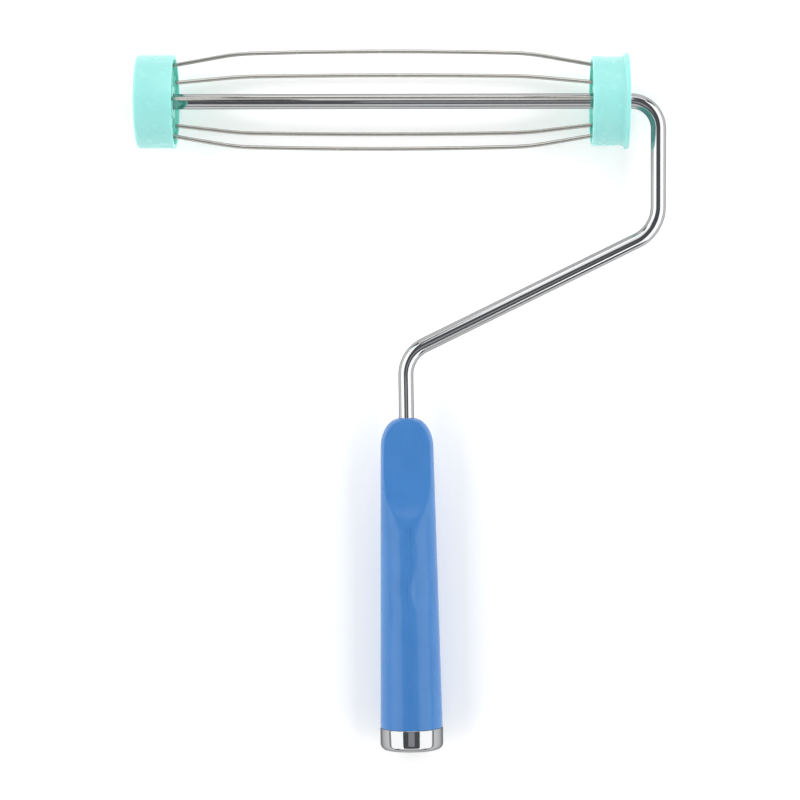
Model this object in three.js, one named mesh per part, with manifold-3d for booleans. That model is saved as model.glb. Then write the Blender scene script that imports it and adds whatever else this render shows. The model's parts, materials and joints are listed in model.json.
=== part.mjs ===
// Cage roller frame for nine-inch paint and pattern sleeves, lying on a table.
// Millimetres. While it is built, the tool's own frame has X along the cage's axle, -Y towards the
// handle and Z across the bent rod's plane, with the origin on the axle at the middle of a sleeve.
import * as THREE from "three";
import { mergeVertices } from "three/addons/utils/BufferGeometryUtils.js";
import Module from "manifold-3d";

const wasm = await Module();
wasm.setup();

// ---- driving dimensions ----------------------------------------------------------------------
const SLEEVE_LENGTH = 228.6; // a nine-inch sleeve, from the outer cap's face to the flange
const GAP = 0.3; // between pieces that touch on the real tool

const ROD_R = 3.6;
const ROD_SIDES = 16;
const CRANK_X = 131.7; // centre line of the rod's stretch beside the flange
const CRANK_CORNER_Y = -60.9; // where that stretch would meet the slanting one
const CRANK_BEND_R = 13;
const ELBOW_BEND_R = 17.9;
const NECK_BEND_R = 15.6;
const BEND_STEP = THREE.MathUtils.degToRad(9);

const HANDLE_TOP = new THREE.Vector2(12.9, -149.5); // where the rod enters the handle
const HANDLE_LEAN = THREE.MathUtils.degToRad(0.92); // the handle's small turn in the rod's plane
const HANDLE_LENGTH = 157.1;
const NECK_LENGTH = 30.1; // from the last bend's corner to the handle
const TANG_DEPTH = 70; // rod inside the handle
const SHOULDER_R = 12.65;
const SHOULDER_DEPTH = 14; // height of the domed top
const DOME_FLAT_R = 3; // added to the dome's quarter ellipse
const HANDLE_FOOT_R = 14.8;
const THUMB_FLAT = 6.4; // from the handle's axis to each thumb flat
const THUMB_FLAT_LENGTH = 24;
const THUMB_RUNOUT_R = 60;
const THUMB_RUNOUT_LENGTH = 30;

const FERRULE_R = 14.9;
const FERRULE_HEIGHT = 10;
const FERRULE_WALL = 0.6;
const FERRULE_LIP_R = 11.2; // the opening in its end
const FERRULE_EDGE = 1.2; // rounding at its end

const SOCKET_R = 9.6; // root of the pole socket's thread
const SOCKET_DEPTH = 34;
const THREAD_PITCH = 5.08;
const THREAD_RIDGE_R = 1.6; // round ridge of a knuckle thread
const THREAD_TURNS = 5;
const INSERT_R = 11.7;

const WIRE_COUNT = 5;
const WIRE_R = 0.95;
const WIRE_SIDES = 8;
const WIRE_SEAT_R = 17.5; // distance from the axle where a wire goes into a cap
const WIRE_KNEE_R = 22.95; // at the two soft bends
const WIRE_CREST_R = 24.0; // at the middle of the bow
const WIRE_KNEE_X = 68.5; // from the middle of the wire to each bend
const WIRE_HOOK_END_R = 12.5; // where the hooked end stops
const WIRE_HOOK_BEND_R = 1.5;

const CAP_R = 22.05;
const CAP_WIDTH = 17.9;
const FLANGED_CAP_R = 21.0;
const FLANGED_CAP_WIDTH = 17.3;
const FLANGE_R = 22.6;
const FLANGE_THICKNESS = 2.1;
const OUTER_BORE_R = 20.1; // inside of the outer cap's ring
const FLANGED_BORE_R = 19.2; // inside of the flanged cap's ring
const BORE_DRAFT = 0.2; // a bore is this much narrower on the web's far side
const HUB_R = 7.5;
const BUSH_SEAT_R = 5.6;
const BUSH_R = 5.3;
const BUSH_BORE_R = 3.8;
const ROUND = 36; // sides of the caps and the handle
const SMALL_ROUND = 24;

// Depths inside a cap, counted from its rim on the cage side outwards.
const PLATE_IN = 1.2;
const PLATE_OUT = 3.4;
const HOOK_DEPTH = 5.0;
const WEB_IN = 6.3;
const WEB_OUT = 8.8;
const HUB_IN = 0.8;
const HUB_OUT = 10.2;
const HUB_LIP_R = 4.1; // bore of the lip that hides the bush's end
const HUB_LIP_OUT = HUB_IN + 1;
const BUSH_IN = HUB_LIP_OUT + GAP;
const BUSH_FLANGE_IN = HUB_OUT + GAP;
const BUSH_FLANGE_OUT = BUSH_FLANGE_IN + 1;
const WASHER_IN = BUSH_FLANGE_OUT + GAP;
const WASHER_OUT = WASHER_IN + 0.8;
const STOP_IN = WASHER_OUT + GAP;
const PUSH_NUT_THICKNESS = 0.8;
const EAR_LENGTH = 2.2;
const AXLE_END = STOP_IN + 1.7;
const COVER_IN = 15.0;
const COVER_OUT = 17.5;

const OUTER_FACE_X = -SLEEVE_LENGTH / 2;
const OUTER_RIM_X = OUTER_FACE_X + CAP_WIDTH;
const FLANGE_STOP_X = SLEEVE_LENGTH / 2 + 1; // the sleeve has a millimetre of end play
const FLANGED_RIM_X = FLANGE_STOP_X + FLANGE_THICKNESS - FLANGED_CAP_WIDTH;

// ---- materials -------------------------------------------------------------------------------
const material = (color, roughness, metalness) =>
  new THREE.MeshStandardMaterial({ color, roughness, metalness });
const chrome = material(0xd8dadb, 0.08, 1);
const mintPlastic = material(0x8fe6dc, 0.3, 0);
const bluePlastic = material(0x3f82c8, 0.32, 0);
const blackNylon = material(0x24272b, 0.6, 0);
const whiteNylon = material(0xe8e6de, 0.5, 0);
const steel = material(0x9fa3a6, 0.35, 1);

// ---- helpers ---------------------------------------------------------------------------------
function solid(geometry) {
  const bare = geometry.index ? geometry.toNonIndexed() : geometry.clone();
  bare.deleteAttribute("normal");
  bare.deleteAttribute("uv");
  const merged = mergeVertices(bare, 1e-4);
  return new wasm.Manifold(
    new wasm.Mesh({
      numProp: 3,
      vertProperties: merged.attributes.position.array,
      triVerts: new Uint32Array(merged.index.array),
    }),
  );
}

function shape(manifold) {
  const mesh = manifold.getMesh();
  const geometry = new THREE.BufferGeometry();
  geometry.setAttribute("position", new THREE.BufferAttribute(mesh.vertProperties, 3));
  geometry.setIndex(new THREE.BufferAttribute(mesh.triVerts, 1));
  geometry.computeVertexNormals();
  return geometry;
}

function piece(name, geometry, finish, parent) {
  const mesh = new THREE.Mesh(geometry, finish);
  mesh.name = name;
  parent.add(mesh);
  return mesh;
}

// A closed outline of [radius, height] points, turned about the Y axis.
function turned(outline, sides = ROUND) {
  const points = outline.map(([radius, height]) => new THREE.Vector2(radius, height));
  if (THREE.ShapeUtils.area(points) < 0) points.reverse();
  points.push(points[0].clone());
  return new THREE.LatheGeometry(points, sides);
}

// A plain ring from one height to another.
function ring(innerR, outerR, low, high, sides = SMALL_ROUND) {
  return turned([[innerR, low], [outerR, low], [outerR, high], [innerR, high]], sides);
}

// A block given by its lowest and highest corners.
function block(low, high) {
  const size = high.map((value, axis) => value - low[axis]);
  const middle = high.map((value, axis) => (value + low[axis]) / 2);
  return new THREE.BoxGeometry(...size).translate(...middle);
}

// A curve through given stations, which are not evenly spaced: close together only in the bends.
class StationCurve extends THREE.Curve {
  constructor(stations) {
    super();
    this.stations = stations;
  }
  getPoint(t, target = new THREE.Vector3()) {
    const last = this.stations.length - 1;
    return target.copy(this.stations[Math.min(last, Math.round(t * last))]);
  }
  getPointAt(t, target) {
    return this.getPoint(t, target);
  }
  getTangentAt(t, target = new THREE.Vector3()) {
    const last = this.stations.length - 1;
    const index = Math.min(last, Math.round(t * last));
    const before = this.stations[Math.max(0, index - 1)];
    const here = this.stations[index];
    const after = this.stations[Math.min(last, index + 1)];
    const arriving = here.clone().sub(before).normalize();
    const leaving = after.clone().sub(here).normalize();
    return target.copy(arriving).add(leaving).normalize();
  }
}

// A bar of round section along the stations.
function bar(stations, radius, sides) {
  const section = new THREE.Shape();
  for (let side = 0; side < sides; side += 1) {
    const angle = (2 * Math.PI * side) / sides;
    const corner = [radius * Math.cos(angle), radius * Math.sin(angle)];
    if (side === 0) section.moveTo(...corner);
    else section.lineTo(...corner);
  }
  section.closePath();
  return new THREE.ExtrudeGeometry(section, {
    steps: stations.length - 1,
    extrudePath: new StationCurve(stations),
  });
}

// Stations of a bent bar: straight between its corners, each corner rounded to its bend radius.
function bentPath(corners, bendRadii, step = BEND_STEP) {
  const stations = [corners[0].clone()];
  for (let index = 1; index < corners.length - 1; index += 1) {
    const corner = corners[index];
    const back = corners[index - 1].clone().sub(corner).normalize();
    const ahead = corners[index + 1].clone().sub(corner).normalize();
    const turn = Math.PI - back.angleTo(ahead);
    const radius = bendRadii[index - 1];
    const inwards = back.clone().add(ahead).normalize();
    const centre = corner.clone().addScaledVector(inwards, radius / Math.cos(turn / 2));
    const first = corner.clone().addScaledVector(back, radius * Math.tan(turn / 2)).sub(centre);
    const axis = back.clone().negate().cross(ahead).normalize();
    const count = Math.max(2, Math.ceil(turn / step));
    for (let k = 0; k <= count; k += 1) {
      stations.push(first.clone().applyAxisAngle(axis, (turn * k) / count).add(centre));
    }
  }
  stations.push(corners[corners.length - 1].clone());
  return stations;
}

// ---- bent rod --------------------------------------------------------------------------------
function frameRod() {
  const along = new THREE.Vector2(Math.sin(HANDLE_LEAN), -Math.cos(HANDLE_LEAN));
  const neck = HANDLE_TOP.clone().addScaledVector(along, -NECK_LENGTH);
  const tang = HANDLE_TOP.clone().addScaledVector(along, TANG_DEPTH);
  const corners = [
    new THREE.Vector3(OUTER_RIM_X - AXLE_END, 0, 0),
    new THREE.Vector3(CRANK_X, 0, 0),
    new THREE.Vector3(CRANK_X, CRANK_CORNER_Y, 0),
    new THREE.Vector3(neck.x, neck.y, 0),
    new THREE.Vector3(tang.x, tang.y, 0),
  ];
  const radii = [CRANK_BEND_R, ELBOW_BEND_R, NECK_BEND_R];
  const rod = solid(bar(bentPath(corners, radii), ROD_R, ROD_SIDES));

  // Two ears pressed out of the axle stop the cage at the flanged end.
  const earX = FLANGED_RIM_X + STOP_IN;
  const earReach = ROD_R + 1.9;
  const earHalfThickness = 1.1;
  const ears = solid(
    block([earX, -earReach, -earHalfThickness], [earX + EAR_LENGTH, earReach, earHalfThickness]),
  );
  // A flattened blade on the tang keeps the handle from turning.
  const bladeReach = 4.5;
  const bladeHalfThickness = 0.9;
  const bladeLength = 8;
  const bladeTop = -(TANG_DEPTH - bladeLength - 2);
  const blade = solid(
    block(
      [-bladeReach, bladeTop - bladeLength, -bladeHalfThickness],
      [bladeReach, bladeTop, bladeHalfThickness],
    )
      .rotateZ(HANDLE_LEAN)
      .translate(HANDLE_TOP.x, HANDLE_TOP.y, 0),
  );
  return shape(rod.add(ears).add(blade));
}

// ---- cage wires ------------------------------------------------------------------------------
const WIRE_MIDDLE_X = (OUTER_RIM_X + FLANGED_RIM_X) / 2;

// Half of a wire from the crest to its hook, as corners in its own radial plane.
function wireStations() {
  const rimX = (FLANGED_RIM_X - OUTER_RIM_X) / 2;
  const seatX = rimX + 0.4; // where it turns parallel to the axle
  const hookX = rimX + HOOK_DEPTH;
  const bowSteps = 4;
  const bowShare = 0.8; // of the way from the crest to the knee, where the knee's bend begins
  const bowPoint = (share) => {
    const rise = (WIRE_CREST_R - WIRE_KNEE_R) * (1 - share * share);
    return new THREE.Vector3(WIRE_KNEE_X * share, 0, WIRE_KNEE_R + rise);
  };
  const corners = [
    bowPoint(bowShare),
    new THREE.Vector3(WIRE_KNEE_X, 0, WIRE_KNEE_R),
    new THREE.Vector3(seatX, 0, WIRE_SEAT_R),
    new THREE.Vector3(hookX, 0, WIRE_SEAT_R),
    new THREE.Vector3(hookX, 0, WIRE_HOOK_END_R),
  ];
  const kneeBend = 100;
  const seatBend = 8;
  const coarse = THREE.MathUtils.degToRad(24);
  const half = bentPath(corners, [kneeBend, seatBend, WIRE_HOOK_BEND_R], coarse);
  const bow = [];
  for (let k = 0; k < bowSteps; k += 1) {
    bow.push(bowPoint((k / bowSteps) * bowShare));
  }
  const right = [...bow, ...half];
  const left = right
    .slice(1)
    .reverse()
    .map((point) => new THREE.Vector3(-point.x, 0, point.z));
  return [...left, ...right];
}

function addWires(cage) {
  for (let k = 0; k < WIRE_COUNT; k += 1) {
    const wire = piece(`cage_wire_${k + 1}`, bar(wireStations(), WIRE_R, WIRE_SIDES), chrome, cage);
    wire.position.x = WIRE_MIDDLE_X;
    wire.rotation.x = (2 * Math.PI * k) / WIRE_COUNT;
  }
}

// ---- end caps, built with the cage side down and turned onto the axle -------------------------
// Inside of a cap: ring bore, web and hub, from the rim's inner corner round to the outer one.
function capInside(boreR, width) {
  return [
    [boreR, 0],
    [boreR, WEB_IN],
    [HUB_R, WEB_IN],
    [HUB_R, HUB_IN],
    [HUB_LIP_R, HUB_IN],
    [HUB_LIP_R, HUB_LIP_OUT],
    [BUSH_SEAT_R, HUB_LIP_OUT],
    [BUSH_SEAT_R, HUB_OUT],
    [HUB_R, HUB_OUT],
    [HUB_R, WEB_OUT],
    [boreR - BORE_DRAFT, WEB_OUT],
    [boreR - BORE_DRAFT, width],
  ];
}

function outerCap() {
  const edge = 1.4;
  const rimEdge = 0.5;
  return turned([
    [CAP_R - edge, CAP_WIDTH],
    [CAP_R - edge * 0.3, CAP_WIDTH - edge * 0.3],
    [CAP_R, CAP_WIDTH - edge],
    [CAP_R, rimEdge],
    [CAP_R - rimEdge, 0],
    ...capInside(OUTER_BORE_R, CAP_WIDTH),
  ]);
}

function flangedCap() {
  const flangeIn = FLANGED_CAP_WIDTH - FLANGE_THICKNESS;
  const body = solid(
    turned([
      [FLANGE_R, FLANGED_CAP_WIDTH],
      [FLANGE_R, flangeIn],
      [FLANGED_CAP_R + 0.5, flangeIn],
      [FLANGED_CAP_R + 0.1, flangeIn - 0.8],
      [FLANGED_CAP_R, flangeIn - 2.2],
      [FLANGED_CAP_R + 0.2, 1.2],
      [FLANGED_CAP_R - 0.5, 0],
      ...capInside(FLANGED_BORE_R, FLANGED_CAP_WIDTH),
    ]),
  );
  // Radial ribs stiffen the open outer side, one between each pair of wires.
  const ribHalf = 0.8;
  const ribTop = FLANGED_CAP_WIDTH - 3;
  const ribSunk = 0.4; // how far it goes into the hub, the web and the ring
  let ribbed = body;
  for (let k = 0; k < WIRE_COUNT; k += 1) {
    const rib = block(
      [HUB_R - ribSunk, WEB_OUT - ribSunk, -ribHalf],
      [FLANGED_BORE_R + ribSunk, ribTop, ribHalf],
    );
    rib.rotateY(Math.PI / 2 + (2 * Math.PI * k) / WIRE_COUNT);
    ribbed = ribbed.add(solid(rib));
  }
  return shape(ribbed);
}

// Disc that traps the hooked wire ends: a notch in its edge for each wire.
function wirePlate(boreR) {
  const notchR = WIRE_R + GAP + 0.1;
  let plate = solid(ring(HUB_R + GAP, boreR - GAP, PLATE_IN, PLATE_OUT, ROUND));
  for (let k = 0; k < WIRE_COUNT; k += 1) {
    const angle = (2 * Math.PI * k) / WIRE_COUNT;
    const notch = block(
      [-notchR, PLATE_IN - 1, WIRE_SEAT_R - notchR],
      [notchR, PLATE_OUT + 1, boreR + 1],
    );
    plate = plate.subtract(solid(notch.rotateY(angle)));
  }
  return shape(plate);
}

function bearingBush() {
  const flangeR = 6.9;
  return turned(
    [
      [BUSH_BORE_R, BUSH_IN],
      [BUSH_R, BUSH_IN],
      [BUSH_R, BUSH_FLANGE_IN],
      [flangeR, BUSH_FLANGE_IN],
      [flangeR, BUSH_FLANGE_OUT],
      [BUSH_BORE_R, BUSH_FLANGE_OUT],
    ],
    SMALL_ROUND,
  );
}

function pushNut() {
  const nutR = 6.8;
  const dish = 0.35; // its middle stands proud of its edge
  const high = STOP_IN + PUSH_NUT_THICKNESS;
  return turned(
    [
      [ROD_R + GAP, STOP_IN + dish],
      [nutR, STOP_IN],
      [nutR, high - dish],
      [ROD_R + GAP, high],
    ],
    SMALL_ROUND,
  );
}

function endCover() {
  const coverR = OUTER_BORE_R - BORE_DRAFT - GAP;
  const edge = 0.6;
  return turned([
    [0, COVER_IN],
    [coverR, COVER_IN],
    [coverR, COVER_OUT - edge],
    [coverR - edge, COVER_OUT],
    [0, COVER_OUT],
  ]);
}

// Puts a group's +Y on the axle, pointing outwards from the cage, with height 0 at the cap's rim.
function capGroup(rimX, side, parent) {
  const group = new THREE.Group();
  group.position.x = rimX;
  group.rotation.z = (-side * Math.PI) / 2;
  parent.add(group);
  return group;
}

function addCaps(cage, fixed) {
  const outer = capGroup(OUTER_RIM_X, -1, cage);
  piece("outer_end_cap", outerCap(), mintPlastic, outer);
  piece("outer_wire_plate", wirePlate(OUTER_BORE_R), mintPlastic, outer);
  piece("outer_bearing_bush", bearingBush(), whiteNylon, outer);
  piece("end_cover", endCover(), mintPlastic, outer);

  const flanged = capGroup(FLANGED_RIM_X, 1, cage);
  piece("flanged_end_cap", flangedCap(), mintPlastic, flanged);
  piece("inner_wire_plate", wirePlate(FLANGED_BORE_R), mintPlastic, flanged);
  piece("inner_bearing_bush", bearingBush(), whiteNylon, flanged);

  const washerR = 6.5;
  const washer = () => ring(ROD_R + GAP, washerR, WASHER_IN, WASHER_OUT);
  const outerStop = capGroup(OUTER_RIM_X, -1, fixed);
  piece("outer_thrust_washer", washer(), steel, outerStop);
  piece("push_nut", pushNut(), steel, outerStop);
  piece("inner_thrust_washer", washer(), steel, capGroup(FLANGED_RIM_X, 1, fixed));
}

// ---- handle, built hanging down from the point where the rod enters it ------------------------
const SHELL_END = -(HANDLE_LENGTH - 1);
const FERRULE_TOP = -(HANDLE_LENGTH - FERRULE_HEIGHT);
const NECK_CAVITY_R = 5;
const NECK_CAVITY_TOP = -6;
const NECK_CAVITY_END = -57;
const CORE_CAVITY_R = 9.8;
const INSERT_TOP = -(HANDLE_LENGTH - SOCKET_DEPTH - 3);

function handleGrip() {
  const rodHoleR = ROD_R + GAP;
  const dome = [];
  const domeSteps = 7;
  for (let k = 0; k <= domeSteps; k += 1) {
    const angle = (Math.PI / 2) * (k / domeSteps);
    dome.push([
      DOME_FLAT_R + (SHOULDER_R - DOME_FLAT_R) * Math.sin(angle),
      -SHOULDER_DEPTH * (1 - Math.cos(angle)),
    ]);
  }
  dome[0][0] = rodHoleR; // the rod's hole is a little wider than the dome's flat top
  const footR = FERRULE_R - FERRULE_WALL - GAP;
  const insertSeatR = INSERT_R + GAP;
  const shell = solid(
    turned([
      ...dome,
      [HANDLE_FOOT_R, FERRULE_TOP + GAP],
      [footR, FERRULE_TOP + GAP],
      [footR, SHELL_END],
      [insertSeatR, SHELL_END],
      [insertSeatR, INSERT_TOP + GAP],
      [CORE_CAVITY_R, INSERT_TOP + GAP],
      [CORE_CAVITY_R, NECK_CAVITY_END - 3],
      [NECK_CAVITY_R, NECK_CAVITY_END],
      [NECK_CAVITY_R, NECK_CAVITY_TOP],
      [rodHoleR, NECK_CAVITY_TOP],
    ]),
  );

  // A thumb flat on the front and on the back, each running out in a long curve.
  const wide = 20;
  const arc = THUMB_RUNOUT_LENGTH / THUMB_RUNOUT_R;
  const outline = new THREE.Shape();
  outline.moveTo(wide, 2);
  outline.lineTo(THUMB_FLAT, 2);
  outline.lineTo(THUMB_FLAT, -THUMB_FLAT_LENGTH);
  outline.absarc(
    THUMB_FLAT + THUMB_RUNOUT_R,
    -THUMB_FLAT_LENGTH,
    THUMB_RUNOUT_R,
    Math.PI,
    Math.PI + Math.asin(arc),
    false,
  );
  outline.lineTo(wide, -THUMB_FLAT_LENGTH - THUMB_RUNOUT_LENGTH);
  outline.closePath();
  const cutter = new THREE.ExtrudeGeometry(outline, {
    depth: 2 * wide,
    bevelEnabled: false,
    curveSegments: 6,
  }).translate(0, 0, -wide);
  const front = solid(cutter.clone().rotateY(-Math.PI / 2));
  const back = solid(cutter.clone().rotateY(Math.PI / 2));
  return shape(shell.subtract(front).subtract(back));
}

function handleCore() {
  const tangR = ROD_R + GAP;
  const bladeRoomR = 5;
  const bladeRoomEnd = -(TANG_DEPTH + 1);
  const end = INSERT_TOP + 2;
  return turned(
    [
      [tangR, NECK_CAVITY_TOP - GAP],
      [NECK_CAVITY_R - GAP, NECK_CAVITY_TOP - GAP],
      [NECK_CAVITY_R - GAP, NECK_CAVITY_END - 1],
      [CORE_CAVITY_R - GAP, NECK_CAVITY_END - 5],
      [CORE_CAVITY_R - GAP, end],
      [0, end],
      [0, bladeRoomEnd],
      [bladeRoomR, bladeRoomEnd],
      [bladeRoomR, NECK_CAVITY_END - 2],
      [tangR, NECK_CAVITY_END - 1],
    ],
    SMALL_ROUND,
  );
}

// Pole socket: a sleeve closed at the top, with a round-ridged thread in its bore.
function threadedInsert() {
  const spigotR = FERRULE_LIP_R - GAP;
  const spigotEnd = -(HANDLE_LENGTH - GAP);
  const shoulder = SHELL_END + 0.1;
  const bottom = INSERT_TOP - 3;
  const sleeve = solid(
    turned(
      [
        [0, INSERT_TOP],
        [INSERT_R, INSERT_TOP],
        [INSERT_R, shoulder],
        [spigotR, shoulder],
        [spigotR, spigotEnd],
        [SOCKET_R, spigotEnd],
        [SOCKET_R, bottom],
        [0, bottom],
      ],
      SMALL_ROUND,
    ),
  );
  const stepsPerTurn = 16;
  const start = spigotEnd + 3;
  const stations = [];
  for (let k = 0; k <= stepsPerTurn * THREAD_TURNS; k += 1) {
    const angle = (2 * Math.PI * k) / stepsPerTurn;
    const centreR = SOCKET_R + 0.1;
    stations.push(
      new THREE.Vector3(
        centreR * Math.cos(angle),
        start + (THREAD_PITCH * k) / stepsPerTurn,
        centreR * Math.sin(angle),
      ),
    );
  }
  const ridge = solid(bar(stations, THREAD_RIDGE_R, 6));
  return shape(sleeve.add(ridge));
}

function ferrule() {
  const end = -HANDLE_LENGTH;
  const innerR = FERRULE_R - FERRULE_WALL;
  return turned([
    [FERRULE_R, FERRULE_TOP],
    [FERRULE_R, end + FERRULE_EDGE],
    [FERRULE_R - FERRULE_EDGE * 0.3, end + FERRULE_EDGE * 0.3],
    [FERRULE_R - FERRULE_EDGE, end],
    [FERRULE_LIP_R, end],
    [FERRULE_LIP_R, end + FERRULE_WALL],
    [innerR, end + FERRULE_WALL],
    [innerR, FERRULE_TOP],
  ]);
}

function addHandle(fixed) {
  const handle = new THREE.Group();
  handle.position.set(HANDLE_TOP.x, HANDLE_TOP.y, 0);
  handle.rotation.z = HANDLE_LEAN;
  fixed.add(handle);
  piece("handle_grip", handleGrip(), bluePlastic, handle);
  piece("handle_core", handleCore(), blackNylon, handle);
  piece("threaded_insert", threadedInsert(), blackNylon, handle);
  piece("ferrule", ferrule(), chrome, handle);
}

// ---- the whole tool, laid on its flange and ferrule -------------------------------------------
const tool = new THREE.Group();
const fixed = new THREE.Group();
const cage = new THREE.Group();
tool.add(fixed, cage);
piece("frame_rod", frameRod(), chrome, fixed);
addHandle(fixed);
addCaps(cage, fixed);
addWires(cage);

// The tool tips about its axle until the ferrule's end is as low as the flange.
const ferruleReach = -HANDLE_TOP.y + HANDLE_LENGTH - FERRULE_EDGE;
const reach = Math.hypot(ferruleReach, FERRULE_R);
const LIE_ANGLE = Math.asin(FLANGE_R / reach) - Math.atan2(FERRULE_R, ferruleReach);
tool.rotation.x = LIE_ANGLE;

// The part's origin is on the table, under the middle of the tool.
const box = new THREE.Box3().setFromObject(tool, true);
tool.position.set(-(box.min.x + box.max.x) / 2, -(box.min.y + box.max.y) / 2, -box.min.z);

const part = new THREE.Group();
part.add(tool);

export default part;
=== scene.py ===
# %% [markdown]
# # A cage roller frame, from working model to finished looks
#
# The tool is the frame that a nine-inch paint or pattern sleeve runs on. Two plastic end caps
# and five sprung wires make the cage. One bent chrome rod is both its axle and its arm, and it
# ends in a plastic handle with a chrome ferrule.
#
# The working model holds every size and how the cage turns. It is loaded first and never
# changed. What this lesson adds is the fine surface that the eye meets, one piece at a time.

# %% Load the working model
import json
import math

import bmesh
import bpy
from mathutils import Matrix, Vector, noise


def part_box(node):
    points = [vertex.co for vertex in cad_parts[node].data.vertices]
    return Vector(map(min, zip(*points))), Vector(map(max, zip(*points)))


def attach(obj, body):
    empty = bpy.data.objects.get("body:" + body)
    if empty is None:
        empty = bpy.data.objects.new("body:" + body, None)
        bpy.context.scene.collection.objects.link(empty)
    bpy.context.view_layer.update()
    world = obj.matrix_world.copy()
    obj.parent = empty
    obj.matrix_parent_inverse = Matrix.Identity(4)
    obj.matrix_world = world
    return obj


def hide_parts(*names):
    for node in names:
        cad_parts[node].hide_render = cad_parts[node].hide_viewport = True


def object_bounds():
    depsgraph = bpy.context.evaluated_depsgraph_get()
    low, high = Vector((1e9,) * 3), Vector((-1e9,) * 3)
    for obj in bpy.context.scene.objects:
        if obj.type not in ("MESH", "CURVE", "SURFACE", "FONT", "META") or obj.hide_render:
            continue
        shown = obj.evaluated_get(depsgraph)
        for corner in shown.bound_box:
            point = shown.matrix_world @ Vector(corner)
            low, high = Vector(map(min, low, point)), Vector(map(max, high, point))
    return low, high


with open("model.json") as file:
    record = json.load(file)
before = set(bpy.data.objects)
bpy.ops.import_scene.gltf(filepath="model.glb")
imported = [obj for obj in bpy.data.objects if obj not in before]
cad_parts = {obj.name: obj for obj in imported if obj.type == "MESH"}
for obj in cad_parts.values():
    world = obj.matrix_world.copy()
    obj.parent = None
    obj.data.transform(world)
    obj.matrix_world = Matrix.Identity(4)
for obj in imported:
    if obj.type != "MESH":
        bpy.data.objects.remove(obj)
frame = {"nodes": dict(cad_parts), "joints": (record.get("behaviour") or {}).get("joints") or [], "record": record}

cad_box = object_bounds()
cad_size = cad_box[1] - cad_box[0]
print("nodes:", len(frame["nodes"]), "size in mm:", [round(1000 * side, 1) for side in cad_size])

# %% [markdown]
# ## The tool's own frame
#
# The tool lies on a table, propped by its flange and its ferrule, so its handle slopes down a
# little. Modelling on a slope is awkward. Every piece is therefore made square to the axes, and
# only then given its place: first in the tool's frame, which has X along the axle, Y from the
# handle to the cage and Z across the bent rod, and from there onto the table.
#
# The axle's place comes from the cage's joint. The slope comes from the face at the handle's
# end, which the working model states as a mount.

# %% Where the tool lies
MM = 0.001
spin = frame["joints"][0]
seat = next(mount for mount in frame["record"]["mounts"] if mount["name"] == "pole_seat")
along_axle = Vector(spin["axis"])
down_handle = Vector(seat["axis"])
out_of_plane = along_axle.cross(-down_handle).normalized()
up_tool = out_of_plane.cross(along_axle)


def axes(x_axis, y_axis, z_axis, at=(0, 0, 0)):
    """The matrix that puts X, Y and Z along these directions, from this point."""
    turned = Matrix((x_axis, y_axis, z_axis)).transposed().to_4x4()
    return Matrix.Translation(at) @ turned


TOOL = axes(along_axle, up_tool, out_of_plane, spin["pos_m"])
print("the handle slopes down by", round(math.degrees(math.asin(up_tool.z)), 2), "degrees")

# %% [markdown]
# ## Ways of working that every piece uses
#
# An operator acts on whatever is selected, so each helper first leaves exactly one object, or
# exactly the wanted faces, selected.

# %% Helpers for selecting
SAME_POINT = 0.001 * MM


def only(piece):
    """Makes this object the one that operators act on."""
    bpy.ops.object.select_all(action="DESELECT")
    piece.select_set(True)
    bpy.context.view_layer.objects.active = piece


def edit(piece):
    """Opens the object for editing, with everything in it selected."""
    only(piece)
    bpy.ops.object.mode_set(mode="EDIT")
    bpy.ops.mesh.select_all(action="SELECT")


def pick(piece, kind, test):
    """Selects the faces, edges or verts that pass the test, and only those."""
    mesh = bmesh.from_edit_mesh(piece.data)
    bpy.ops.mesh.select_mode(type={"faces": "FACE", "edges": "EDGE", "verts": "VERT"}[kind])
    bpy.ops.mesh.select_all(action="DESELECT")
    for part in getattr(mesh, kind):
        part.select = test(part)
    mesh.select_flush_mode()
    bmesh.update_edit_mesh(piece.data)


def close_shell(piece):
    """Joins doubled points, turns every face outwards and leaves edit mode."""
    bpy.ops.mesh.select_all(action="SELECT")
    bpy.ops.mesh.remove_doubles(threshold=SAME_POINT)
    bpy.ops.mesh.normals_make_consistent(inside=False)
    bpy.ops.object.mode_set(mode="OBJECT")
    return piece


# %% [markdown]
# Modifiers do the work that would take many operators: rounding edges, joining solids and
# cutting them. Each is applied at once, which keeps every piece a plain mesh.

# %% Helpers for modifiers
def modify(piece, kind, **settings):
    """Adds a modifier and applies it."""
    only(piece)
    modifier = piece.modifiers.new(kind.title(), kind)
    for name, value in settings.items():
        setattr(modifier, name, value)
    bpy.ops.object.modifier_apply(modifier=modifier.name)
    return piece


def soften(piece, width, sharper_than=28, segments=3):
    """Rounds the sharp edges, as moulding, rolling or tumbling does."""
    limit = math.radians(sharper_than)
    settings = {"segments": segments, "limit_method": "ANGLE", "angle_limit": limit}
    return modify(piece, "BEVEL", width=width, harden_normals=False, **settings)


def combine(piece, other, operation="UNION"):
    """Joins the other solid to the piece, or cuts it away, and deletes the other."""
    modify(piece, "BOOLEAN", object=other, operation=operation, solver="MANIFOLD")
    only(other)
    bpy.ops.object.delete()
    return piece


# %% [markdown]
# ## Round pieces: a stack of rings
#
# Most pieces here are turned shapes. By hand, one adds a circle, extrudes it upwards and scales
# the new ring, again and again, up the outline. The helper does the same for a list of
# (radius, height) points. A closed outline makes a ring-shaped solid, whose last ring meets its
# first one. An open one is closed with a flat face at both ends.

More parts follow.
